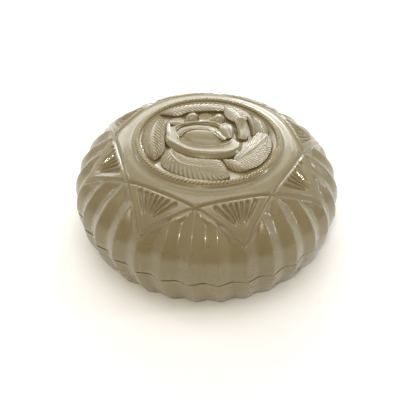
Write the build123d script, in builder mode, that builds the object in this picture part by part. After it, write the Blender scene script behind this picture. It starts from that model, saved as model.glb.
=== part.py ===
from build123d import *
from math import cos, radians, sin, sqrt
import os

# Cosmetic cream jar: fluted base, inner jar with a screw neck, domed lid with a carved rose.
# Frame: millimetres, +Z up, origin at the centre of the underside, octagon flats face the axes.

# --- driving dimensions -------------------------------------------------------------------
foot_crest_r = 42.0       # rib crest radius at the foot
seam_z = 12.5             # middle of the parting line
seam_gap = 0.3            # open gap at the parting line
rib_count = 32
rib_depth = 1.3           # crest to valley
base_turn = 2.5           # the base's crests start this many degrees anticlockwise of the lid's

# lid crest profile as radius, height
lid_profile = [(45.85, 12.65), (46.0, 14.6), (45.0, 19.6), (42.7, 23.8), (38.8, 28.0), (32.2, 32.4)]
panel_edge_r = 26.4       # inner edge of the plain octagon panel, beside the rope ring
panel_edge_z = 34.1
corner_r = 32.2           # octagon corner radius
star_lift = 0.25          # star zone stands this much proud of the rib crests
rib_end = (29.3, 33.4)    # radius, height where the ribbed skin ends under the panel
star_low_z = 15.0         # the star outline is cut from here up through the dome
star_cut_height = 30.0
groove_half_width = 1.0   # vee grooves of the octagon and star, at their open top
groove_open = 0.6         # how far the vee reaches above the skin
groove_depth = 0.6

# fans of seven grooves, one in each star point, running together towards its tip
fan_count = 7
fan_spread = 2.7
fan_root_r = 38.7
fan_stop_x = 36.0
fan_half_width = 0.6
fan_open = 0.5
fan_depth = 0.8

# medallion: a sunk floor inside a raised rope ring, with the rose turned towards one octagon corner
floor_z = 34.0
rope_r = 23.7             # centre radius of the rope ring
rope_z = 34.75
rope_bead = 0.95
floor_cut = 5.0           # the floor is cut up through everything above it
rose_turn = -16.7
carving_r = 22.4          # the carving stops here, clear of the rope ring
carving_root = 1.0        # how far it is rooted below the floor

socket_r = 33.6           # bore of the socket that takes the screw cap
socket_wall = 1.6
socket_low_z = 14.5
pocket_r = 31.0           # shallow pocket over the cap, inside its seat
ceiling_z = 30.6

# neck finish, 63 mm nominal, six threads per inch
pitch = 25.4 / 6
neck_r = 30.0
thread_height = 1.2       # how far a thread bead stands out
thread_root = 0.15        # how far it is sunk in the wall it stands on
thread_foot = 1.2         # half its width at the wall
thread_flat = 0.5         # half its width at the crest
neck_top_z = 23.5
thread_start_z = 16.6
thread_turns = 1.25
neck_bore_r = 27.5

# inner jar
flange_r = 42.4
flange_z = 10.6
flange_t = 1.7
cup_r = 33.5
cup_floor_z = 2.0
cup_wall = 2.5

# screw cap and wad
cap_r = 33.55
cap_bore_r = 31.55
cap_low_z = 13.0
cap_plate_t = 1.4
liner_r = 31.3
liner_t = 1.0
wad_gap = 0.05

base_floor_t = 1.9
base_bore_low_r = 37.5
base_bore_high_r = 40.6
ledge_bore_r = 42.5

# --- shared shapes ------------------------------------------------------------------------
pitch_angle = 360 / rib_count
apothem = corner_r * cos(radians(22.5))
tip_r = apothem / cos(radians(45))


def polar(radius, angle):
    """Point in plan, angle in degrees from +X."""
    return (radius * cos(radians(angle)), radius * sin(radians(angle)))


def lid_z(radius):
    """Height of the crest profile at a radius, by straight steps between its points."""
    points = lid_profile[1:] + [(panel_edge_r, panel_edge_z), (0.0, panel_edge_z + 1.2)]
    for (r0, z0), (r1, z1) in zip(points, points[1:]):
        if r1 <= radius <= r0:
            return z0 + (z1 - z0) * (r0 - radius) / (r0 - r1)
    return points[0][1]


def pleated(height, radius, depth, turn=0.0):
    """Closed outline at one height: straight flanks that meet at rib crests and valleys."""
    points = []
    for k in range(rib_count):
        points.append(polar(radius, turn + k * pitch_angle))
        points.append(polar(radius - depth, turn + (k + 0.5) * pitch_angle))
    with BuildSketch(Plane.XY.offset(height)) as outline:
        with BuildLine():
            Polyline(*points, close=True)
        make_face()
    return outline.sketch


# --- base shell ---------------------------------------------------------------------------
base_top_z = seam_z - seam_gap / 2
base_rows = [(0.0, foot_crest_r - 0.8), (0.8, foot_crest_r), (4.0, 43.7), (8.0, 45.1), (base_top_z, 45.8)]
with BuildPart() as base_shell:
    for row_z, row_r in base_rows:
        # the pleats lean as they rise and all but meet the lid's at the seam
        add(pleated(row_z, row_r, rib_depth, base_turn * (1 - 0.75 * row_z / base_top_z)))
    loft()
    with BuildSketch(Plane.XZ) as base_cavity:
        with BuildLine():
            Polyline(
                (0, base_floor_t),
                (base_bore_low_r, base_floor_t),
                (base_bore_high_r, flange_z - 0.1),
                (ledge_bore_r, flange_z - 0.1),
                (ledge_bore_r, base_top_z + 1),
                (0, base_top_z + 1),
                close=True,
            )
        make_face()
    revolve(axis=Axis.Z, mode=Mode.SUBTRACT)

# --- inner jar ----------------------------------------------------------------------------
# the neck thread is one raised trapezoid bead wound round the neck
with BuildPart() as neck_thread:
    with BuildLine():
        neck_helix = Helix(pitch=pitch, height=pitch * thread_turns, radius=neck_r - thread_root)
    with BuildSketch(Plane(neck_helix @ 0, x_dir=(1, 0, 0), z_dir=neck_helix % 0)):
        with BuildLine():
            Polyline(
                (0, -thread_foot),
                (thread_root + thread_height, -thread_flat),
                (thread_root + thread_height, thread_flat),
                (0, thread_foot),
                close=True,
            )
        make_face()
    sweep(path=neck_helix, is_frenet=True)

with BuildPart() as inner_jar:
    with BuildSketch(Plane.XZ) as jar_section:
        with BuildLine():
            Polyline(
                (0, cup_floor_z),
                (cup_r - 1.5, cup_floor_z),
                (cup_r, cup_floor_z + 1.5),
                (cup_r, flange_z),
                (flange_r, flange_z),
                (flange_r, flange_z + flange_t),
                (neck_r, flange_z + flange_t),
                (neck_r, neck_top_z - 0.5),
                (neck_r - 0.5, neck_top_z),
                (neck_bore_r + 0.5, neck_top_z),
                (neck_bore_r, neck_top_z - 0.5),
                (neck_bore_r, flange_z + flange_t),
                (cup_r - cup_wall, flange_z - 1.5),
                (cup_r - cup_wall, cup_floor_z + 4.0),
                (cup_r - cup_wall - 1.5, cup_floor_z + 2.5),
                (0, cup_floor_z + 2.5),
                close=True,
            )
        make_face()
    revolve(axis=Axis.Z)

    add(neck_thread.part.moved(Location((0, 0, thread_start_z))))

# --- screw cap ----------------------------------------------------------------------------
cap_plate_z = neck_top_z + wad_gap + liner_t
cap_top_z = cap_plate_z + cap_plate_t
with BuildPart() as cap_thread:
    with BuildLine():
        cap_helix = Helix(pitch=pitch, height=pitch * thread_turns, radius=cap_bore_r + thread_root)
    with BuildSketch(Plane(cap_helix @ 0, x_dir=(1, 0, 0), z_dir=cap_helix % 0)):
        with BuildLine():
            Polyline(
                (0, -thread_foot),
                (-thread_root - thread_height, -thread_flat),
                (-thread_root - thread_height, thread_flat),
                (0, thread_foot),
                close=True,
            )
        make_face()
    sweep(path=cap_helix, is_frenet=True)
with BuildPart() as lid_inner_cap:
    with BuildSketch(Plane.XZ) as cap_section:
        with BuildLine():
            Polyline(
                (0, cap_plate_z),
                (cap_bore_r, cap_plate_z),
                (cap_bore_r, cap_low_z + 0.5),
                (cap_bore_r + 0.5, cap_low_z),
                (cap_r, cap_low_z),
                (cap_r, cap_top_z - 0.5),
                (cap_r - 0.5, cap_top_z),
                (0, cap_top_z),
                close=True,
            )
        make_face()
    revolve(axis=Axis.Z)
    # the cap's thread lies midway between two turns of the neck's
    add(cap_thread.part.moved(Location((0, 0, thread_start_z - pitch / 2))))

# --- wad ----------------------------------------------------------------------------------
with BuildPart() as lid_liner:
    with BuildSketch(Plane.XY.offset(neck_top_z + wad_gap)):
        Circle(liner_r)
    extrude(amount=liner_t)

# --- lid shell ----------------------------------------------------------------------------
lid_low_z = seam_z + seam_gap / 2
with BuildPart() as ribbed_dome:
    for row_r, row_z in lid_profile + [rib_end]:
        add(pleated(row_z, row_r, rib_depth))
    loft()

# the star zone is the dome kept inside an eight-pointed star
with BuildPart() as star_dome:
    with BuildSketch(Plane.XZ) as dome_section:
        with BuildLine():
            dome_points = [(r + star_lift / 2, z + star_lift) for r, z in lid_profile[2:]]
            dome_line = Spline(dome_points + [(panel_edge_r, panel_edge_z + star_lift)])
            Line(dome_line @ 1, (0, panel_edge_z + star_lift))
            Line((0, panel_edge_z + star_lift), (0, dome_points[0][1]))
            Line((0, dome_points[0][1]), dome_line @ 0)
        make_face()
    revolve(axis=Axis.Z)
    with BuildSketch(Plane.XY.offset(star_low_z)) as star_outline:
        with BuildLine():
            star_points = []
            for k in range(8):
                star_points.append(polar(tip_r + 0.1, 45 * k))
                star_points.append(polar(corner_r, 45 * k + 22.5))
            Polyline(*star_points, close=True)
        make_face()
    extrude(amount=star_cut_height, mode=Mode.INTERSECT)

# straight vee groove that lies along one side of the octagon and runs on to two star tips
groove_half = tip_r * sin(radians(45)) + 0.6


def star_z(radius):
    """Height of the star zone's surface, close enough to set a groove's depth."""
    return lid_z(radius) + star_lift


with BuildPart() as groove:
    with BuildLine():
        groove_points = []
        for k in range(9):
            y = groove_half * (k - 4) / 4
            groove_points.append((apothem, y, star_z(sqrt(apothem**2 + y**2))))
        groove_line = Spline(groove_points)
    with BuildSketch(Plane(groove_line @ 0, x_dir=(1, 0, 0), z_dir=groove_line % 0)):
        with BuildLine():
            Polyline(
                (-groove_half_width, groove_open),
                (0, -groove_depth),
                (groove_half_width, groove_open),
                close=True,
            )
        make_face()
    sweep(path=groove_line)

fan_top_x = apothem + 1.6


def fan_groove(number):
    """One vee groove of the fan, cut along a straight line in plan."""
    y_top = (number - (fan_count - 1) / 2) * fan_spread
    y_stop = y_top * (fan_root_r - fan_stop_x) / (fan_root_r - fan_top_x)
    with BuildPart() as ray:
        with BuildLine():
            ray_points = []
            for step in range(4):
                t = step / 3
                x = fan_top_x + (fan_stop_x - fan_top_x) * t
                y = y_top + (y_stop - y_top) * t
                ray_points.append((x, y, star_z(sqrt(x**2 + y**2))))
            ray_line = Spline(ray_points)
        with BuildSketch(Plane(ray_line @ 0, x_dir=(0, 1, 0), z_dir=ray_line % 0)):
            with BuildLine():
                Polyline(
                    (-fan_half_width, fan_open),
                    (0, -fan_depth),
                    (fan_half_width, fan_open),
                    close=True,
                )
            make_face()
        sweep(path=ray_line)
    return ray.part


def relief(x, y, half_length, half_width, height, turn):
    """Rounded relief shape on the medallion floor, placed in the rose's own turned axes."""
    shape = scale(Sphere(1), by=(half_length, half_width, height))
    return shape.moved(Location((0, 0, 0), (0, 0, rose_turn)) * Location((x, y, floor_z), (0, 0, turn)))


# each leaf: place, half length, half width, height, turn
leaves = [
    (-6.0, 17.6, 11.0, 2.7, 1.3, 10),
    (-18.2, 0.5, 12.0, 3.6, 1.7, 92),
    (-4.0, -15.8, 10.0, 4.2, 1.7, -14),
    (9.0, -14.6, 4.4, 2.2, 1.3, -30),
    (14.8, -5.5, 10.0, 5.0, 1.4, 56),
    (9.8, 14.8, 6.0, 3.6, 1.4, -62),
    (18.0, 7.6, 5.4, 2.2, 1.2, -82),
]
# rose: wide outer petal, bud, side petals and back petals
rose = [
    (-1.5, -0.8, 12.6, 9.6, 2.3, 0),
    (-1.4, 0.2, 8.0, 4.9, 2.9, -12),
    (6.4, 2.6, 4.6, 2.4, 2.6, -72),
    (11.4, 5.0, 6.2, 2.3, 2.3, -80),
    (-5.6, 11.2, 2.7, 2.4, 2.3, 80),
    (-1.2, 12.0, 2.7, 1.9, 2.2, 88),
    (3.4, 11.4, 2.8, 2.4, 2.2, 75),
]

carved_shapes = [relief(*place) for place in leaves + rose]

# the carving stops just inside the rope ring and is rooted a little below the floor
with BuildPart() as carving:
    for shape in carved_shapes:
        add(shape)
    with BuildSketch(Plane.XY.offset(floor_z - carving_root)):
        Circle(carving_r)
    extrude(amount=floor_cut, mode=Mode.INTERSECT)

with BuildPart() as lid_shell:
    add(ribbed_dome.part)
    add(star_dome.part)
    # straight grooves of the octagon and star
    for k in range(8):
        add(groove.part.rotate(Axis.Z, 45 * k), mode=Mode.SUBTRACT)
    for number in range(fan_count):
        ray_part = fan_groove(number)
        for k in range(8):
            add(ray_part.rotate(Axis.Z, 45 * k), mode=Mode.SUBTRACT)
    # sunk medallion floor, carving and rope ring
    with BuildSketch(Plane.XY.offset(floor_z)):
        Circle(rope_r - 0.2)
    extrude(amount=floor_cut, mode=Mode.SUBTRACT)
    add(carving.part)
    with BuildSketch(Plane.XZ) as rope_section:
        with Locations((rope_r, rope_z)):
            Circle(rope_bead)
    revolve(axis=Axis.Z)
    # hollow inside, with a socket for the screw cap
    with BuildSketch(Plane.XZ) as lid_cavity:
        with BuildLine():
            Polyline(
                (0, lid_low_z - 1),
                (42.5, lid_low_z - 1),
                (42.5, lid_low_z),
                (42.6, 15.5),
                (41.5, 20.0),
                (39.2, 24.0),
                (36.6, 26.6),
                (socket_r + socket_wall, 27.4),
                (socket_r + socket_wall, socket_low_z),
                (socket_r, socket_low_z),
                (socket_r, cap_top_z),
                (pocket_r, cap_top_z),
                (pocket_r, ceiling_z),
                (0, ceiling_z),
                close=True,
            )
        make_face()
    revolve(axis=Axis.Z, mode=Mode.SUBTRACT)

pieces = {
    "base_shell": base_shell,
    "inner_jar": inner_jar,
    "lid_inner_cap": lid_inner_cap,
    "lid_liner": lid_liner,
    "lid_shell": lid_shell,
}
os.makedirs("parts", exist_ok=True)
for label, piece in pieces.items():
    piece.part.label = label
    export_step(piece.part, f"parts/{label}.step")
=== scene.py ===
import math

import bpy
import numpy as np
from mathutils import Matrix, Vector


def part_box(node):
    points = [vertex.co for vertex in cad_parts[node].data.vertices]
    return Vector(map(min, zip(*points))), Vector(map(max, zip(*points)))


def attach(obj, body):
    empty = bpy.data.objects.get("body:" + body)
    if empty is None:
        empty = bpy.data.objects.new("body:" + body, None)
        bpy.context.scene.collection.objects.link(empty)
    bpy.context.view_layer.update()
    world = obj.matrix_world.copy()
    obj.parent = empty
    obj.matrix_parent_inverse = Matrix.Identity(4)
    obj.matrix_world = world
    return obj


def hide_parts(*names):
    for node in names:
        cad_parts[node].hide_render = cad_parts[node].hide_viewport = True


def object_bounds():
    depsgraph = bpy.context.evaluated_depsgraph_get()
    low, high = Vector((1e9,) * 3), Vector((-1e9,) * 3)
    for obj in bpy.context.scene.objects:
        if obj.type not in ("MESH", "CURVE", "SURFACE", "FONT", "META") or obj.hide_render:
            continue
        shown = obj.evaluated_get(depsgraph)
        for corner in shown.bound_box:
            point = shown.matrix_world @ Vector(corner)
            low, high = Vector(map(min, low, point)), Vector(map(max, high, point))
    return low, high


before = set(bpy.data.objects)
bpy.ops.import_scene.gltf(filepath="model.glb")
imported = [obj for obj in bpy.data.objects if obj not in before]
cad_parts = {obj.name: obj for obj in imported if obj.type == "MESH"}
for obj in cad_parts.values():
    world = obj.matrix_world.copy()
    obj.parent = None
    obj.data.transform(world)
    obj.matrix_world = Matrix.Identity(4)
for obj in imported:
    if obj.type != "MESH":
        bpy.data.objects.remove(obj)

# Cream jar looks: fluted lid and base, rope ring, carved rose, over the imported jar, cap and wad.
# Shapes are worked out in millimetres in the frame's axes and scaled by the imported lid's width.

cad_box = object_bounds()
lid_low, lid_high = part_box("lid_shell")
base_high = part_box("base_shell")[1]
MM = (lid_high.x - lid_low.x) / 92.0
LID_FOOT = lid_low.z / MM
BASE_TOP = base_high.z / MM

RIBS = 32
AROUND = 960                  # samples round the jar, 30 to a rib
SHARP = 42                    # creases over this angle are drawn sharp
RIB_DEPTH = 1.3
BASE_TURN = 2.5               # at the foot, the base's ribs stand this many degrees round from the lid's
APOTHEM = 29.75               # centre to octagon side
STAR_LIFT = 0.2
GROOVE_DEPTH = 0.6
GROOVE_HALF = 0.85            # half width of the octagon's and star's grooves
FAN_ROOT = 39.2               # radius where the fan grooves of a star point run together
FAN_TOP = 30.95               # their upper ends stand this far out from the middle
FAN_ANGLE = 13.0
FAN_DEPTH = 0.85
PANEL_INNER_R = 27.95
MEDALLION_FLOOR = 34.0
RELIEF_TOP = 2.88             # carving stays this near the floor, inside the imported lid
PANEL_PLANE = 34.4
CARVING_R = 22.6              # carving stops here, inside the rope ring
ROOT = 0.4                    # how far carving goes below the floor
PETAL_STEPS, PETAL_LOOP = 130, 34
CEILING = 30.6                # underside of the lid's top
VIEW_AZ = -16.69
VIEW_EL = 41.96


# ---------------------------------------------------------------- mesh helpers
def smooth_step(x, low, high):
    t = np.clip((x - low) / (high - low), 0, 1)
    return t * t * (3 - 2 * t)


def curve(points, count):
    """Evenly spaced points along a smooth line through the given ones."""
    p = np.asarray(points, float)
    p = np.vstack([2 * p[0] - p[1], p, 2 * p[-1] - p[-2]])
    dense = []
    for i in range(1, len(p) - 2):
        t = np.linspace(0, 1, 24, endpoint=False)[:, None]
        a, b, c, d = p[i - 1], p[i], p[i + 1], p[i + 2]
        dense.append(0.5 * (2 * b + (c - a) * t + (2 * a - 5 * b + 4 * c - d) * t**2
                            + (3 * b - a - 3 * c + d) * t**3))
    dense.append(p[-2][None])
    dense = np.vstack(dense)
    run = np.r_[0, np.cumsum(np.linalg.norm(np.diff(dense, axis=0), axis=1))]
    at = np.linspace(0, run[-1], count)
    return np.stack([np.interp(at, run, dense[:, k]) for k in range(p.shape[1])], 1)


def make_object(name, points, faces, sharp=None):
    mesh = bpy.data.meshes.new(name)
    mesh.from_pydata((np.asarray(points) * MM).tolist(), [], faces)
    mesh.update()
    mesh.shade_smooth()
    if sharp:
        mesh.set_sharp_from_angle(angle=math.radians(sharp))
    obj = bpy.data.objects.new(name, mesh)
    bpy.context.scene.collection.objects.link(obj)
    return obj


def grid_faces(rows, columns, start=0):
    """Quads between rows of points, each row closed on itself."""
    i = np.arange(rows - 1)[:, None]
    j = np.arange(columns)[None]
    k = (j + 1) % columns
    quads = np.stack(np.broadcast_arrays(i * columns + j, i * columns + k,
                                         (i + 1) * columns + k, (i + 1) * columns + j), 2)
    return (quads.reshape(-1, 4) + start).tolist()


def fan_faces(centre, ring, flip):
    """Triangles from one point to a closed ring of point numbers."""
    faces = []
    for a, b in zip(ring, ring[1:] + ring[:1]):
        faces.append((centre, b, a) if flip else (centre, a, b))
    return faces


def turned_shell(name, rows, first_centre, last_centre, sharp):
    """Closed body from rings that run from one point on the axis to another."""
    rows = np.asarray(rows)
    count, around = rows.shape[:2]
    points = np.vstack([rows.reshape(-1, 3), [first_centre], [last_centre]])
    faces = grid_faces(count, around)
    first = list(range(around))
    last = [(count - 1) * around + k for k in range(around)]
    faces += fan_faces(count * around, first, True)
    faces += fan_faces(count * around + 1, last, False)
    return make_object(name, points, faces, sharp)


# ---------------------------------------------------------------- fluted profile
theta = np.arange(AROUND) * 2 * np.pi / AROUND


def pleat(angle):
    """Depth share across a rib: 0 on its crest, 1 in the valley, with straight flanks."""
    u = np.abs((np.degrees(angle) / (360 / RIBS) + 0.5) % 1 - 0.5) * 2
    u = np.sqrt(u * u + 0.05**2) - 0.05
    soft = 0.34
    bend = np.clip(u - (1 - soft), 0, None)
    return (u - bend * bend / (2 * soft)) / (1 - soft / 2)


# crest line of the lid, from its foot to the panel's inner edge, as radius and height
lid_line = curve([(45.8, LID_FOOT), (45.93, 14.6), (45.0, 19.6), (42.7, 23.8), (38.8, 28.0),
                  (32.2, 32.4), (29.2, 33.45), (26.4, 34.1), (22.0, 34.4)], 700)
lid_run = np.r_[0, np.cumsum(np.hypot(*np.diff(lid_line, axis=0).T))]
lid_tangent = np.gradient(lid_line, lid_run, axis=0)
widest = int(np.argmax(lid_line[:, 0]))


def run_at(radius):
    """Distance along the lid's crest line where it has this radius."""
    return np.interp(-radius, -lid_line[widest:, 0], lid_run[widest:])


def on_line(run):
    r = np.interp(run, lid_run, lid_line[:, 0])
    z = np.interp(run, lid_run, lid_line[:, 1])
    tr = np.interp(run, lid_run, lid_tangent[:, 0])
    tz = np.interp(run, lid_run, lid_tangent[:, 1])
    size = np.hypot(tr, tz)
    return r, z, tz / size, -tr / size, tz / np.minimum(tr, -1e-3)


def fan_cut(radius, angle):
    """Depth of the seven grooves that fan out in each star point."""
    local = (angle + np.pi / 8) % (np.pi / 4) - np.pi / 8
    x, y = radius * np.cos(local), radius * np.sin(local)
    reach, side = np.hypot(FAN_ROOT - x, y), np.arctan2(y, FAN_ROOT - x)
    cut = np.zeros_like(reach)
    for number in range(-3, 4):
        lean = math.radians(FAN_ANGLE) * number
        along = reach * np.cos(side - lean)
        across = reach * np.sin(side - lean)
        stop = (FAN_ROOT - FAN_TOP) / math.cos(lean) - 0.6
        over = np.clip(along - stop, 0, None)
        half = np.clip(0.094 * np.clip(along, 0, stop), 0.05, None)
        share = np.hypot(across, over) / half
        depth = FAN_DEPTH * smooth_step(along, 0.5, 7.0)
        cut = np.maximum(cut, depth * np.clip(1 - share**1.3, 0, None))
    return cut


def lid_height(run, angle):
    """How far the lid's surface stands off its crest line at a place."""
    r, z, nr, nz, steep = on_line(run)
    outside, grooves = [], np.zeros_like(r)
    for k in range(8):
        lean = angle - k * np.pi / 4
        stretch = np.sqrt(1 + (steep * np.cos(lean)) ** 2)
        off = (r * np.cos(lean) - APOTHEM) * stretch
        beyond = np.clip(np.abs(r * np.sin(lean)) - APOTHEM, 0, None)
        near = np.where(np.cos(lean) > 0.3, np.hypot(off, beyond), 9.0)
        grooves = np.maximum(grooves, GROOVE_DEPTH * np.clip(1 - near / GROOVE_HALF, 0, None))
        outside.append(off)
    outside = np.array(outside)
    square_a, square_b = outside[0::2].max(0), outside[1::2].max(0)
    out = np.minimum(square_a, square_b)
    facet = np.clip(out, 0, None) * 0.5
    rib = RIB_DEPTH * pleat(angle)
    blend = 0.12
    share = np.clip(0.5 + 0.5 * (facet - rib) / blend, 0, 1)
    rib_cut = facet * (1 - share) + rib * share - blend * share * (1 - share)
    rib_cut = np.clip(rib_cut, 0, None) * (out > 0)
    lift = STAR_LIFT * smooth_step(-out, -0.15, 0.5)
    return lift - rib_cut - grooves - fan_cut(r, angle) * (square_a * square_b < 0) * (out < 0)


# ---------------------------------------------------------------- lid body
angle = theta % (np.pi / 4)
star_r = APOTHEM / np.maximum(np.cos(angle - np.pi / 4) * (angle < np.pi / 8),
                              np.cos(angle) * (angle >= np.pi / 8))
side_r = APOTHEM / np.maximum(np.cos(angle), np.cos(angle - np.pi / 4))
star_run, side_run, panel_run = run_at(star_r), run_at(side_r), run_at(PANEL_INNER_R)


def between(low, high, steps):
    return [low + (high - low) * s for s in steps]


runs = [0 * theta, 0 * theta + 0.12, 0 * theta + 0.35]
runs += between(0.35 + 0 * theta, star_run - 1.1,
                np.r_[np.linspace(0.07, 0.6, 9), np.linspace(0.65, 1, 13)])
runs += between(star_run - 1.1, star_run, [0.33, 0.66, 1.0])
# the two groove lines cross at the octagon's corners, so rows between them close up there
gap = np.maximum(side_run - star_run, 0.3)
side_run = star_run + gap
lead = np.minimum(1.1, gap * 0.3)
runs += between(star_run, star_run + lead, [0.34, 0.67, 1.0])
runs += between(star_run + lead, side_run - lead, np.linspace(0, 1, 27)[1:])
runs += between(side_run - lead, side_run, [0.34, 0.67, 1.0])
runs += between(side_run, side_run + 0.9 * lead / lead.max() + 0.2, [0.33, 0.66, 1.0])
last = runs[-1]
runs += between(last, panel_run + 0 * theta, [0.25, 0.5, 0.75, 1.0])

outer = []
for run in runs:
    r, z, nr, nz, steep = on_line(run)
    h = lid_height(run, theta)
    outer.append(np.stack([(r + h * nr) * np.cos(theta), (r + h * nr) * np.sin(theta), z + h * nz], 1))
foot_in = 0.35
r = lid_line[0, 0] - foot_in - RIB_DEPTH * pleat(theta)
rim = np.stack([r * np.cos(theta), r * np.sin(theta), LID_FOOT + 0 * theta], 1)
outer[0][:, 2] += 0.12


def ring(radius, height):
    return np.stack([radius * np.cos(theta), radius * np.sin(theta), height + 0 * theta], 1)


panel_z = float(outer[-1][:, 2].mean())
# the panel curves up to the rope's seat, whose inner side falls to the medallion floor
for r, rise in ((27.2, 0.02), (26.5, 0.03), (26.0, 0.07), (25.6, 0.16), (25.2, 0.36), (24.9, 0.6)):
    outer.append(ring(r, panel_z + rise))
for r, z in ((24.7, 34.98), (24.55, 35.1), (24.35, 35.12), (24.15, 34.98), (23.2, 34.9), (22.8, 34.74),
             (22.4, 34.5)):
    outer.append(ring(r, z))
for r, rise in ((21.9, 0.28), (21.2, 0.1), (20.2, 0), (16, 0), (9, 0), (3, 0)):
    outer.append(ring(r, MEDALLION_FLOOR + rise))
cavity = [(3, CEILING), (12, CEILING), (31.0, CEILING), (31.0, 25.95), (33.6, 25.95), (33.6, 14.5),
          (35.2, 14.5), (35.2, 27.4), (36.6, 26.6), (39.2, 24.0), (41.5, 20.0), (42.6, 15.5),
          (42.5, LID_FOOT)]
inner = [ring(r, z) for r, z in cavity[::-1]]
rows = outer[::-1] + [rim] + inner
lid_body = turned_shell("lid_body", rows, (0, 0, MEDALLION_FLOOR), (0, 0, CEILING), SHARP)

# ---------------------------------------------------------------- base body
base_line = curve([(41.2, 0.0), (41.75, 0.25), (42.0, 0.8), (43.7, 4.0), (45.1, 8.0),
                   (45.75, BASE_TOP - 0.05)], 26)


def base_rib(z):
    """Rib depth round the base at a height: the ribs lean so that they meet the lid's at the seam."""
    lean = BASE_TURN * (1 - 0.75 * z / BASE_TOP)
    return RIB_DEPTH * pleat(theta - math.radians(lean)) * (0.8 + 0.2 * min(1, z / 3))


outer = []
for r, z in base_line:
    w = r - base_rib(z)
    outer.append(np.stack([w * np.cos(theta), w * np.sin(theta), z + 0 * theta], 1))
w = 45.5 - base_rib(BASE_TOP)
outer.append(np.stack([w * np.cos(theta), w * np.sin(theta), BASE_TOP + 0.1 + 0 * theta], 1))
rows = [ring(3, 0), ring(20, 0), ring(37, 0)] + outer + [ring(r, z) for r, z in (
    (42.5, BASE_TOP + 0.1), (42.5, 10.5), (40.6, 10.5), (37.5, 1.9), (3, 1.9))]
base_body = turned_shell("base_body", rows, (0, 0, 0), (0, 0, 1.9), SHARP)


# ---------------------------------------------------------------- rope ring
def tube(centre, axis_u, axis_v, radius, around):
    """Rings of points round each centre, in the plane of the two axes."""
    t = np.linspace(0, 2 * np.pi, around, endpoint=False)
    return (centre[:, None] + axis_u[:, None] * (radius * np.cos(t))[None, :, None]
            + axis_v[:, None] * (radius * np.sin(t))[None, :, None])


ROPE_R, ROPE_Z = 23.6, 35.0
LAY_R, STRAND_R = 0.36, 0.46  # the strands' distance from the rope's middle, and their own radius
TWISTS = 58                   # each shows as two beads
ROPE_STEPS, STRAND_SIDES = 1160, 12
points, faces = [], []
a = np.arange(ROPE_STEPS) * 2 * np.pi / ROPE_STEPS
for strand in (0, 1):
    spin = TWISTS * a + strand * np.pi
    out = np.stack([np.cos(a), np.sin(a), 0 * a], 1)
    up = np.stack([0 * a, 0 * a, 1 + 0 * a], 1)
    centre = (out * (ROPE_R + LAY_R * np.cos(spin))[:, None]
              + up * (ROPE_Z + LAY_R * np.sin(spin))[:, None])
    forward = np.roll(centre, -1, 0) - np.roll(centre, 1, 0)
    forward /= np.linalg.norm(forward, axis=1)[:, None]
    side = np.cross(forward, up)
    side /= np.linalg.norm(side, axis=1)[:, None]
    high = np.cross(side, forward)
    rings = tube(centre, side, high, STRAND_R, STRAND_SIDES)
    start = sum(len(p) for p in points)
    points.append(rings.reshape(-1, 3))
    faces += grid_faces(ROPE_STEPS, STRAND_SIDES, start)
    last = start + (ROPE_STEPS - 1) * STRAND_SIDES
    for k in range(STRAND_SIDES):
        m = (k + 1) % STRAND_SIDES
        faces.append((last + k, last + m, start + m, start + k))
rope = make_object("lid_rope_ring", np.vstack(points), faces)

# ---------------------------------------------------------------- carved medallion
turn = math.radians(VIEW_AZ)
SIGHT = 1 / math.tan(math.radians(VIEW_EL))
medal_parts = {"lid_leaves": ([], []), "lid_rose": ([], [])}


def seat(points):
    """Relief points as x, y, h: y is where the point shows over the panel from the front."""
    p = np.asarray(points, float)
    y = p[:, 1] - (p[:, 2] + MEDALLION_FLOOR - PANEL_PLANE) * SIGHT
    return np.stack([p[:, 0], y, p[:, 2]], 1)


def add_body(part, sections):
    """A closed body from closed loops of relief points, capped at both ends."""
    points, faces = medal_parts[part]
    start = sum(len(p) for p in points)
    count, loop = sections.shape[:2]
    flat = sections.reshape(-1, 3)
    x = flat[:, 0] * math.cos(turn) - flat[:, 1] * math.sin(turn)
    y = flat[:, 0] * math.sin(turn) + flat[:, 1] * math.cos(turn)
    far = np.hypot(x, y)
    pull = np.minimum(1, CARVING_R / np.maximum(far, 1e-6))
    z = np.clip(flat[:, 2], -ROOT, RELIEF_TOP) + MEDALLION_FLOOR
    points.append(np.stack([x * pull, y * pull, z], 1))
    faces += grid_faces(count, loop, start)
    faces.append([start + k for k in range(loop)][::-1])
    faces.append([start + (count - 1) * loop + k for k in range(loop)])


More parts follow.
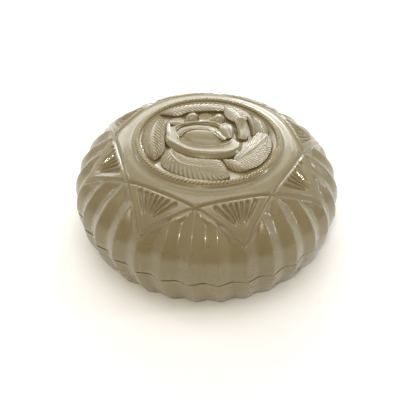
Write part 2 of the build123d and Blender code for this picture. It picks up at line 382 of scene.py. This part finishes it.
def leaf(mid, edge_a, edge_b, veins, slant, puff, rise=0.25, tooth=0.07, count=150, across=20,
         part="lid_leaves"):
    """A carved leaf: midrib line and its two edges, lobed between slanting veins."""
    m = curve(seat(mid), count)
    u = np.linspace(0, 1, count)
    halves = []
    for number, edge in enumerate((edge_a, edge_b)):
        e = curve(seat(edge), count)
        rows = []
        for v in np.linspace(0, 1, across):
            phase = (veins * u - slant * v + 0.3 * number) % 1
            lobe = np.sin(np.pi * phase) ** 0.7
            window = smooth_step(v, 0.02, 0.25) * smooth_step(u, 0.0, 0.08)
            window = window * smooth_step(-u, -1.0, -0.93)
            reach = v * (1 + tooth * (lobe - 0.6) * v**3)
            p = m * (1 - reach)[:, None] + e * reach[:, None]
            p[:, 2] = (m[:, 2] * (1 - v) + e[:, 2] * v + rise * 4 * v * (1 - v)
                       + puff * (lobe - 0.65) * window)
            p[:, 2] += 0.12 * np.exp(-((v / 0.07) ** 2)) * smooth_step(u, 0.0, 0.1)
            rows.append(p)
        rim = rows[-1]
        inward = m - rim
        inward[:, 2] = 0
        inward /= np.maximum(np.linalg.norm(inward, axis=1), 0.3)[:, None]
        for step, drop in ((0.02, 0.16), (0.22, 0.42)):
            p = rim + inward * step
            p[:, 2] = rim[:, 2] - drop
            rows.append(p)
        p = rim + inward * 0.35
        p[:, 2] = -ROOT
        rows.append(p)
        halves.append(rows)
    loop = halves[0][::-1] + halves[1][1:]
    add_body(part, np.stack(loop, 1))


def petal(rim, outer, inner, belly, lip):
    """A petal standing on the floor: its rim and the lines where its two faces end."""
    r, o, i = (curve(seat(p), PETAL_STEPS) for p in (rim, outer, inner))
    out = o - i
    out[:, 2] = 0
    out /= np.maximum(np.linalg.norm(out, axis=1), 1e-6)[:, None]
    raised = np.array([0, 0, 1.0])
    sections = [
        o * [1, 1, 0] - raised * ROOT,
        o,
        o * 0.6 + r * 0.4 + out * belly,
        o * 0.2 + r * 0.8 + out * (belly * 0.55),
        r + out * lip * 0.5 - raised * 0.16,
        r,
        r - out * lip - raised * 0.03,
        r * 0.62 + i * 0.38 - raised * 0.05,
        r * 0.25 + i * 0.75,
        i,
        i * [1, 1, 0] - raised * ROOT,
    ]
    sections = np.stack(sections, 1)
    fine = []
    for k in range(PETAL_STEPS):
        fine.append(curve(sections[k], PETAL_LOOP))
    add_body("lid_rose", np.array(fine))


def bud(centre, half_x, half_y, tilt, low, high, power=2.4, skew=0.0, count=28, around=72):
    """A smooth swelling with an oval foot."""
    t = np.linspace(0, 2 * np.pi, around, endpoint=False)
    c, s = math.cos(math.radians(tilt)), math.sin(math.radians(tilt))
    rows = []
    for v in [1.0] + list(np.linspace(1, 0.02, count)):
        h = low + (high - low) * (1 - v**power) ** (1 / 1.7)
        x, y = half_x * v * np.cos(t), half_y * v * np.sin(t)
        z = -ROOT if not rows else h + skew * v * np.sin(t)
        rows.append(np.stack([centre[0] + c * x - s * y, centre[1] + s * x + c * y, z + 0 * t], 1))
    add_body("lid_rose", np.array(rows))


# leaves, from the back round by the left to the right; every triple is x, y, height
leaf([(-16.8, 14.8, 1.0), (-12.5, 16.8, 1.3), (-6, 18.9, 1.4), (0, 19.6, 1.4), (5.4, 19.4, 1.1)],
     [(-16.7, 15.1, 0.9), (-14.6, 17.3, 0.7), (-11, 20.0, 0.5), (-5, 22.0, 0.5), (1, 22.4, 0.5),
      (5.4, 21.2, 0.7)],
     [(-16.8, 14.4, 0.9), (-13.5, 14.0, 1.0), (-10.5, 13.6, 1.1), (-7, 16.0, 1.1), (0, 17.2, 1.2),
      (5.4, 17.4, 1.1)], veins=16, slant=2.2, puff=0.24)
leaf([(-16.6, 12.2, 1.0), (-18.0, 8, 1.6), (-18.6, 4, 1.8), (-18.6, 0, 1.8), (-18.2, -4, 1.7),
      (-17.6, -8, 1.4), (-16.8, -11.6, 0.7)],
     [(-16.9, 12.3, 0.9), (-19.6, 10.2, 0.6), (-21.4, 6.5, 0.4), (-22.3, 2.5, 0.3), (-22.3, -1.5, 0.3),
      (-21.2, -5.5, 0.3), (-19.4, -9.5, 0.3), (-17.1, -11.9, 0.5)],
     [(-16.2, 12.2, 1.0), (-15.0, 9, 1.4), (-14.6, 4, 1.5), (-14.4, -1, 1.5), (-14.0, -5, 1.3),
      (-14.7, -8.5, 1.1), (-16.5, -11.6, 0.6)], veins=15, slant=3.0, puff=0.42, rise=0.4)
leaf([(-12.2, -5.6, 1.5), (-11.2, -9.5, 1.7), (-8.6, -13.0, 1.7), (-4, -14.6, 1.6), (1, -15.2, 1.5),
      (5, -17.2, 1.2), (7.2, -19.4, 0.7)],
     [(-12.6, -6.2, 1.3), (-14.9, -10.3, 0.8), (-14.0, -14.8, 0.4), (-10.5, -17.8, 0.2),
      (-5, -20.2, 0.1), (1, -20.9, 0.1), (5, -20.6, 0.3), (7.2, -19.7, 0.6)],
     [(-11.8, -5.4, 1.4), (-9.6, -7.6, 1.0), (-5.5, -9.8, 1.0), (0, -10.5, 1.1), (4, -11.2, 1.3),
      (5.7, -14, 1.3), (6.7, -17, 1.0), (7.3, -19.2, 0.7)], veins=19, slant=2.8, puff=0.2, rise=0.3)
leaf([(5.0, -11.0, 1.2), (7.8, -12.7, 1.5), (9.8, -13.6, 1.5), (11.6, -14.9, 1.2), (13.2, -15.7, 0.7)],
     [(5.2, -11.8, 0.9), (6.6, -14.8, 0.4), (9.5, -16.6, 0.3), (12, -16.4, 0.4), (13.3, -15.9, 0.6)],
     [(5.1, -10.6, 1.2), (8.5, -10.6, 1.1), (10.6, -12, 1.1), (12.1, -14, 1.0), (13.3, -15.4, 0.7)],
     veins=7, slant=1.6, puff=0.15, count=90, across=14)
leaf([(8.8, -11.5, 1.0), (10.9, -9, 1.3), (13, -6.4, 1.4), (15.3, -3.8, 1.4), (17.4, -0.8, 1.4),
      (18.9, 2, 1.3), (19.8, 3.9, 1.0)],
     [(9.0, -12.2, 1.0), (11, -14.6, 1.0), (13.5, -14.9, 0.9), (16.5, -13, 0.8), (18.7, -9.8, 0.8),
      (20.4, -5.8, 0.9), (21.3, -1.6, 0.9), (21.4, 1.6, 0.8), (20.2, 3.8, 0.8)],
     [(8.4, -10.6, 1.0), (9.2, -7.4, 1.0), (10.4, -4, 0.9), (11.6, -1.2, 0.9), (13.6, 0.2, 0.9),
      (15.2, 2.6, 0.9), (17, 5, 1.0), (19.4, 4.6, 1.0)], veins=25, slant=3.8, puff=0.2, rise=0.15)
leaf([(5.6, 21.0, 1.0), (8, 18.6, 1.3), (9.6, 16, 1.5), (10.4, 13.4, 1.5), (10.6, 11.5, 1.4)],
     [(6.2, 21.6, 0.7), (10, 20.4, 0.6), (13, 18, 0.6), (14.6, 14.8, 0.8), (14.0, 12, 0.9)],
     [(5.3, 20.2, 0.9), (5.4, 16.5, 1.1), (6.2, 13.6, 1.2), (7.6, 11.8, 1.3), (9, 10.8, 1.3)],
     veins=9, slant=1.6, puff=0.14)
leaf([(15.6, 14.6, 0.8), (17.4, 11.5, 1.2), (18.2, 8.5, 1.3), (18.4, 5.8, 1.2), (18.2, 3.8, 0.9)],
     [(16.2, 14.8, 0.6), (19, 12, 0.5), (20.4, 8.6, 0.5), (20.8, 5.5, 0.5), (19.6, 3.7, 0.6)],
     [(15.3, 14.0, 0.8), (15.9, 10.5, 1.0), (16.4, 7.5, 1.0), (16.4, 5.2, 0.9), (17.2, 3.8, 0.8)],
     veins=9, slant=1.8, puff=0.22)

# rose: a low body, the wide front petal, the bud and the rims behind it
bud((-1.3, 1.6), 12.4, 9.2, -4, 0.2, 1.75, power=3.0)
petal([(-13.2, 6.5, 1.8), (-13.6, 3, 1.9), (-13.2, -0.2, 2.1), (-11.4, -2.1, 2.2), (-9, -4.0, 2.3),
       (-6.4, -5.7, 2.4), (-3, -6.6, 2.4), (0, -6.9, 2.4), (3, -6.8, 2.4), (6, -6.4, 2.4),
       (8.5, -5.4, 2.3), (10, -3.7, 2.2), (10.2, -1.2, 2.0)],
      [(-14.3, 5, 0), (-14.4, 2, 0), (-14.0, -2.0, 0), (-12.6, -5.0, 0), (-10.4, -7.6, 0),
       (-7.5, -9.6, 0), (-3.5, -10.8, 0), (0, -11.2, 0), (4, -11.1, 0), (7.5, -9.9, 0),
       (10.0, -7.9, 0), (11.2, -5.0, 0), (11.2, -1.6, 0)],
      [(-11.6, 7, 1.9), (-10.6, 4, 2.0), (-9.6, 0.9, 2.1), (-8.0, -1.6, 2.2), (-5.6, -3.0, 2.3),
       (-2.5, -3.5, 2.3), (0, -3.6, 2.3), (2.5, -3.4, 2.3), (5, -2.4, 2.3), (7, -0.9, 2.2),
       (8, 1.4, 2.0)], belly=0.8, lip=0.55)
bud((-1.7, 1.0), 8.6, 5.9, -12, 0.5, 2.72, power=2.3, skew=0.2)
petal([(-10.0, 1.6, 1.9), (-8.6, 4.6, 2.45), (-5, 6.4, 2.7), (-2, 6.5, 2.76), (0.6, 5.9, 2.76),
       (2.5, 4.3, 2.7), (4.1, 2.1, 2.6), (5.6, 0.2, 2.35)],
      [(-11.0, 1.8, 1.5), (-9.5, 5.5, 1.9), (-5, 7.5, 2.2), (-1.6, 7.6, 2.2), (1.4, 6.8, 2.2),
       (3.5, 4.9, 2.2), (5.0, 2.6, 2.1), (6.5, 0.8, 2.0)],
      [(-9.0, 1.2, 1.8), (-7.6, 3.7, 2.3), (-4.8, 5.2, 2.6), (-2, 5.3, 2.68), (0, 4.7, 2.66),
       (1.7, 3.2, 2.58), (3.3, 1.3, 2.4), (4.8, -0.3, 2.2)], belly=0.05, lip=0.14)
petal([(-12.0, 4.6, 1.8), (-9.9, 7.9, 2.3), (-6, 9.5, 2.5), (-3, 10.0, 2.55), (0, 10.1, 2.55),
       (2.6, 9.5, 2.5), (4.4, 8.3, 2.4)],
      [(-13.0, 5.2, 1.1), (-10.6, 9.2, 1.3), (-6.2, 10.8, 1.3), (-3, 11.3, 1.3), (0.4, 11.4, 1.3),
       (3.4, 10.6, 1.3), (5.4, 9.2, 1.3)],
      [(-11.0, 4.0, 1.7), (-8.8, 7.0, 1.8), (-5.6, 8.2, 1.8), (-3, 8.5, 1.8), (-0.3, 8.5, 1.8),
       (1.9, 8.0, 1.8), (3.4, 7.0, 1.9)], belly=0.1, lip=0.3)

# smooth petals at the sides and back: ridged ones stand up along their middle, cupped ones sink
plain = {"veins": 0, "slant": 0, "puff": 0.0, "tooth": 0.0, "count": 90, "across": 16, "part": "lid_rose"}
leaf([(4.6, 8.6, 2.2), (6.2, 6.6, 2.6), (7.0, 4.2, 2.55), (7.6, 1.0, 2.3)],
     [(3.4, 8.0, 1.8), (3.6, 5.8, 1.9), (4.8, 3.0, 2.0), (6.6, 0.5, 2.1)],
     [(6.0, 9.6, 2.0), (8.2, 8.2, 2.1), (8.8, 5.2, 2.0), (8.5, 2.2, 1.9), (8.2, 0.3, 1.9)],
     rise=0.35, **plain)
leaf([(9.9, 12.6, 2.2), (10.7, 9.8, 1.6), (11.1, 6.8, 1.3), (11.2, 3.8, 1.3), (10.8, 1.0, 1.3)],
     [(9.0, 12.0, 2.3), (9.3, 9.5, 2.5), (9.8, 7.0, 2.4), (10.0, 4.0, 2.2), (9.9, 1.4, 1.7)],
     [(11.2, 12.9, 2.3), (12.8, 11.2, 2.5), (13.6, 8.0, 2.5), (13.9, 4.4, 2.2), (12.8, 0.8, 1.5)],
     rise=-0.12, **plain)
leaf([(13.9, 14.6, 1.5), (15.1, 11.6, 2.1), (15.8, 8.2, 2.1), (15.9, 5.2, 1.6), (15.3, 3.2, 1.0)],
     [(13.4, 13.9, 1.3), (13.9, 11, 1.2), (14.4, 8, 1.1), (14.6, 5.4, 1.0), (14.8, 3.4, 0.8)],
     [(14.4, 14.9, 1.1), (16.2, 12.2, 0.9), (16.9, 8.6, 0.7), (17.0, 5.2, 0.6), (16.0, 2.9, 0.7)],
     rise=0.25, **plain)
bud((-5.7, 11.6), 3.2, 2.4, 70, 0.6, 2.7, power=2.0, count=18, around=40)
bud((-6.6, 10.2), 2.0, 1.2, 30, 0.6, 2.0, power=2.0, count=12, around=36)
bud((3.4, 11.3), 3.2, 2.4, 80, 0.6, 2.6, power=2.0, count=18, around=40)
bud((1.6, 10.6), 2.2, 1.3, 35, 0.6, 2.1, power=2.0, count=12, around=36)
leaf([(-1.3, 10.4, 1.3), (-1.3, 12.5, 1.5), (-0.9, 15.0, 1.9)],
     [(-2.9, 10.6, 1.6), (-3.2, 12.6, 1.9), (-2.6, 14.4, 2.1), (-0.9, 15.4, 2.1)],
     [(0.1, 11.0, 1.6), (0.9, 12.6, 1.9), (0.8, 14.2, 2.1), (-0.7, 15.4, 2.1)], rise=-0.1, **plain)
leaf([(-13.7, 9.4, 1.5), (-11.4, 10.3, 1.9), (-9.0, 10.0, 2.1), (-8.2, 9.4, 2.1)],
     [(-14.1, 10.4, 1.1), (-12, 12.2, 1.0), (-9.4, 12.5, 1.2), (-8.2, 10.8, 1.7)],
     [(-13.8, 8.4, 1.5), (-12, 8.0, 1.7), (-10, 7.6, 1.9), (-8.4, 8.2, 2.0)], rise=0.2, **plain)
leaf([(-13.9, 9.2, 1.5), (-14.0, 6, 1.9), (-13.6, 3, 2.0), (-13.0, -0.6, 1.8)],
     [(-14.5, 9.4, 1.0), (-14.9, 6, 1.0), (-14.6, 2.6, 1.0), (-13.8, -1.4, 1.1)],
     [(-13.1, 8.8, 1.6), (-12.8, 6, 1.7), (-12.4, 3.4, 1.8), (-12.3, 0.2, 1.8)], rise=0.1, **plain)

medallion = []
for part, (points, faces) in medal_parts.items():
    medallion.append(make_object(part, np.vstack(points), faces, 60))


# ---------------------------------------------------------------- materials
def node_material(name):
    material = bpy.data.materials.new(name)
    material.use_nodes = True
    tree = material.node_tree
    tree.nodes.clear()
    out = tree.nodes.new("ShaderNodeOutputMaterial")
    shader = tree.nodes.new("ShaderNodeBsdfPrincipled")
    tree.links.new(shader.outputs[0], out.inputs[0])
    return material, tree, shader


def add(tree, kind, links=(), **values):
    node = tree.nodes.new("ShaderNode" + kind)
    for key, value in values.items():
        if hasattr(node, key):
            setattr(node, key, value)
        else:
            node.inputs[key.replace("_", " ")].default_value = value
    for source, target in links:
        tree.links.new(source, node.inputs[target])
    return node


def ramp(tree, source, stops):
    node = tree.nodes.new("ShaderNodeValToRGB")
    while len(node.color_ramp.elements) < len(stops):
        node.color_ramp.elements.new(0.5)
    for element, (place, value) in zip(node.color_ramp.elements, stops):
        element.position = place
        element.color = (value, value, value, 1)
    tree.links.new(source, node.inputs[0])
    return node.outputs[0]


def mix(tree, share, a, b):
    node = tree.nodes.new("ShaderNodeMix")
    node.data_type = "RGBA"
    for value, target in ((share, 0), (a, 6), (b, 7)):
        if isinstance(value, (tuple, list, float)):
            node.inputs[target].default_value = value
        else:
            tree.links.new(value, node.inputs[target])
    return node.outputs[2]


GLOW_DEPTH = 0.0012           # metres that light travels inside the plastic


def moulded(name, light, dark, painted_shade_colour, rough, reach=0.0022, painted_shade_share=0.5):
    """Aged moulded ivory-coloured plastic: cloudy colour, painted shade browning the hollows, a painted
    highlight on sharp edges, fine marks and specks.
    """
    material, tree, shader = node_material(name)
    place = add(tree, "TexCoord").outputs["Object"]
    cloud = add(tree, "TexNoise", [(place, "Vector")], Scale=55.0, Detail=4.0, Roughness=0.6)
    mottle = add(tree, "TexNoise", [(place, "Vector")], Scale=420.0, Detail=5.0, Roughness=0.65)
    colour = mix(tree, ramp(tree, cloud.outputs[0], [(0.35, 0.0), (0.68, 1.0)]), light, dark)
    colour = mix(tree, ramp(tree, mottle.outputs[0], [(0.45, 0.0), (0.75, 0.4)]), colour, dark)
    # painted shade: hollows that ambient occlusion finds are darkened toward the brown painted shade
    # colour
    shade_occlusion = add(tree, "AmbientOcclusion", Distance=reach, samples=6)
    shade = ramp(tree, shade_occlusion.outputs["AO"],
                 [(0.25, painted_shade_share), (0.62, 0.3 * painted_shade_share), (0.93, 0.0)])
    colour = mix(tree, shade, colour, painted_shade_colour)
    # painted highlight: sharp convex edges are lightened past the light tone
    edge = ramp(tree, add(tree, "NewGeometry").outputs["Pointiness"], [(0.52, 0.0), (0.62, 0.14)])
    colour = mix(tree, edge, colour, tuple(min(1, c * 1.35) for c in light[:3]) + (1,))
    cell = add(tree, "TexVoronoi", [(place, "Vector")], Scale=230.0)
    speck = ramp(tree, cell.outputs["Distance"], [(0.035, 1.0), (0.06, 0.0)])
    chance = add(tree, "SeparateColor", [(cell.outputs["Color"], 0)]).outputs[0]
    rare = ramp(tree, chance, [(0.93, 0.0), (0.95, 0.8)])
    both = add(tree, "Math", [(speck, 0), (rare, 1)], operation="MULTIPLY")
    colour = mix(tree, both.outputs[0], colour, (0.03, 0.02, 0.008, 1))
    tree.links.new(colour, shader.inputs["Base Color"])
    rub = add(tree, "TexNoise", [(place, "Vector")], Scale=160.0, Detail=6.0, Roughness=0.7)
    worn = add(tree, "MapRange", [(rub.outputs[0], "Value")], From_Min=0.3, From_Max=0.75,
               To_Min=rough - 0.05, To_Max=rough + 0.12)
    tree.links.new(worn.outputs[0], shader.inputs["Roughness"])
    stretch = add(tree, "Mapping", [(place, "Vector")], Scale=(300.0, 2600.0, 900.0),
                  Rotation=(0.2, 0.1, 0.6))
    scratch = add(tree, "TexNoise", [(stretch.outputs[0], "Vector")], Scale=1.0, Detail=3.0)
    fine = add(tree, "Bump", [(scratch.outputs[0], "Height")], Strength=0.12, Distance=0.00004)
    swell = add(tree, "Bump", [(mottle.outputs[0], "Height"), (fine.outputs[0], "Normal")],
                Strength=0.25, Distance=0.00012)
    tree.links.new(swell.outputs[0], shader.inputs["Normal"])
    shader.inputs["Subsurface Weight"].default_value = 0.3
    shader.inputs["Coat Weight"].default_value = 0.5
    shader.inputs["Coat Roughness"].default_value = 0.05
    shader.inputs["Subsurface Radius"].default_value = (1.0, 0.62, 0.3)
    shader.inputs["Subsurface Scale"].default_value = GLOW_DEPTH
    shader.inputs["IOR"].default_value = 1.52
    return material


# moulded materials: light and dark random tones, then the brown painted shade colour their hollows are
# darkened toward
ivory_light, ivory_dark = (0.242, 0.198, 0.1, 1), (0.208, 0.167, 0.077, 1)
ivory_painted_shade = (0.185, 0.125, 0.05, 1)
shell_mat = moulded("aged_ivory", ivory_light, ivory_dark, ivory_painted_shade, rough=0.28, reach=0.0016)
carved_mat = moulded("carved_ivory", ivory_light, ivory_dark, ivory_painted_shade, rough=0.26, reach=0.001,
                     painted_shade_share=0.38)
# painted light: the rope is given lighter colours than the lid's ivory, for the light its raised beads
# catch
rope_mat = moulded("rope_ivory_painted_light", (0.33, 0.275, 0.15, 1), (0.28, 0.23, 0.115, 1), (0.2, 0.14, 0.06, 1),
                   rough=0.22, reach=0.0007, painted_shade_share=0.3)
cream_mat = moulded("cream_liner", (0.62, 0.6, 0.52, 1), (0.56, 0.53, 0.44, 1), (0.3, 0.24, 0.16, 1),
                    rough=0.2, painted_shade_share=0.4)
cap_mat = moulded("cap_white", (0.58, 0.55, 0.45, 1), (0.52, 0.48, 0.38, 1), (0.3, 0.23, 0.14, 1),
                  rough=0.32)

# pressed pulp wad: fibres and a soft pressed surface
wad_mat, tree, shader = node_material("pulp_wad")
place = add(tree, "TexCoord").outputs["Object"]
fibre_map = add(tree, "Mapping", [(place, "Vector")], Scale=(900.0, 3200.0, 900.0), Rotation=(0, 0, 0.5))
fibre = add(tree, "TexNoise", [(fibre_map.outputs[0], "Vector")], Scale=1.0, Detail=6.0)
pulp = add(tree, "TexNoise", [(place, "Vector")], Scale=260.0, Detail=5.0)
colour = mix(tree, fibre.outputs[0], (0.66, 0.62, 0.52, 1), (0.5, 0.44, 0.33, 1))
colour = mix(tree, ramp(tree, pulp.outputs[0], [(0.5, 0.0), (0.8, 0.6)]), colour, (0.42, 0.35, 0.24, 1))
tree.links.new(colour, shader.inputs["Base Color"])
bump = add(tree, "Bump", [(fibre.outputs[0], "Height")], Strength=0.6, Distance=0.00012)
tree.links.new(bump.outputs[0], shader.inputs["Normal"])
shader.inputs["Roughness"].default_value = 0.85

for obj in (lid_body, base_body):
    obj.data.materials.append(shell_mat)
for obj in medallion:
    obj.data.materials.append(carved_mat)
rope.data.materials.append(rope_mat)
for node, material in (("inner_jar", cream_mat), ("lid_inner_cap", cap_mat), ("lid_liner", wad_mat)):
    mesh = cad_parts[node].data
    mesh.materials.clear()
    mesh.materials.append(material)

# ---------------------------------------------------------------- floor, light, camera
floor_mat, tree, shader = node_material("pale_floor")
place = add(tree, "TexCoord").outputs["Object"]
grain = add(tree, "TexNoise", [(place, "Vector")], Scale=30.0, Detail=3.0)
colour = mix(tree, grain.outputs[0], (0.97, 0.97, 0.97, 1), (0.94, 0.94, 0.94, 1))
tree.links.new(colour, shader.inputs["Base Color"])
shader.inputs["Roughness"].default_value = 0.9
floor_mesh = bpy.data.meshes.new("floor")
HALF = 3.0
floor_z = cad_box[0][2] - 0.00005
corners = [(-HALF, -HALF, floor_z), (HALF, -HALF, floor_z), (HALF, HALF, floor_z), (-HALF, HALF, floor_z)]
floor_mesh.from_pydata(corners, [], [(0, 1, 2, 3)])
floor = bpy.data.objects.new("floor", floor_mesh)
bpy.context.scene.collection.objects.link(floor)
floor_mesh.materials.append(floor_mat)

az, el = math.radians(VIEW_AZ), math.radians(VIEW_EL)
right = Vector((math.cos(az), math.sin(az), 0))
back = Vector((math.sin(az) * math.cos(el), -math.cos(az) * math.cos(el), math.sin(el)))
up = back.cross(right)


def from_view(x, y, z):
    """A point given to the camera's right, away from it, and up, in metres."""
    away = Vector((-math.sin(az), math.cos(az), 0))
    return right * x + away * y + Vector((0, 0, z))


LIGHT_AIM = (0, 0, 0.02)


def soft_light(name, at, size, power, colour):
    lamp = bpy.data.lights.new(name, "AREA")
    lamp.shape = "RECTANGLE"
    lamp.size, lamp.size_y = size
    lamp.energy = power
    lamp.color = colour
    obj = bpy.data.objects.new(name, lamp)
    obj.location = from_view(*at)
    obj.rotation_euler = (from_view(*LIGHT_AIM) - obj.location).to_track_quat("-Z", "Y").to_euler()
    bpy.context.scene.collection.objects.link(obj)


soft_light("sky", (-0.05, 0.7, 0.4), (0.9, 0.25), 2.6, (1.0, 0.99, 0.94))
soft_light("top", (0, 0.05, 0.9), (0.8, 0.6), 2.9, (1.0, 0.98, 0.92))
soft_light("window_left", (-0.55, 0.3, 0.3), (0.05, 0.25), 0.3, (0.96, 0.98, 1.0))
soft_light("window_back", (0.15, 0.7, 0.32), (0.2, 0.05), 0.7, (0.97, 0.98, 1.0))
soft_light("window_right", (0.6, 0.0, 0.28), (0.05, 0.25), 0.6, (0.95, 0.97, 1.0))
soft_light("lamp", (-0.1, -0.42, 0.5), (0.06, 0.03), 1.1, (1.0, 0.88, 0.68))

# room: white behind and beside the jar, dim and warm on the camera's side
world = bpy.data.worlds.new("room")
bpy.context.scene.world = world
world.use_nodes = True
tree = world.node_tree
room = tree.nodes["Background"]
toward = add(tree, "TexCoord").outputs["Generated"]
depth = add(tree, "VectorMath", [(toward, 0)], operation="DOT_PRODUCT")
depth.inputs[1].default_value = (-math.sin(az), math.cos(az), 0)
share = add(tree, "MapRange", [(depth.outputs["Value"], "Value")], From_Min=-0.9, From_Max=0.5)
tree.links.new(mix(tree, share.outputs[0], (0.27, 0.235, 0.185, 1), (0.88, 0.9, 0.9, 1)), room.inputs[0])
room.inputs[1].default_value = 0.9

LENS = 57.04                  # on a 36 mm sensor
CAMERA_ROLL = 1.41
CAMERA_DISTANCE = 232.9
AIM_Z, AIM_RIGHT, AIM_DOWN = 16.1, 0.61, 9.15
camera_data = bpy.data.cameras.new("camera")
camera_data.sensor_width = 36.0
camera_data.lens = LENS
camera_data.clip_start = 0.01
camera = bpy.data.objects.new("camera", camera_data)
bpy.context.scene.collection.objects.link(camera)
roll = math.radians(CAMERA_ROLL)
aim = Vector((0, 0, AIM_Z * MM)) + right * (AIM_RIGHT * MM) - up * (AIM_DOWN * MM)
spot = aim + back * (CAMERA_DISTANCE * MM)
x_axis = right * math.cos(roll) + up * math.sin(roll)
y_axis = up * math.cos(roll) - right * math.sin(roll)
pose = Matrix((x_axis, y_axis, back)).transposed().to_4x4()
pose.translation = spot
camera.matrix_world = pose
bpy.context.scene.camera = camera
bpy.context.scene.view_settings.view_transform = "Standard"

# ---------------------------------------------------------------- bodies
for obj in [lid_body, rope] + medallion:
    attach(obj, "lid")
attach(base_body, "jar")
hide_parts("lid_shell")
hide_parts("base_shell")
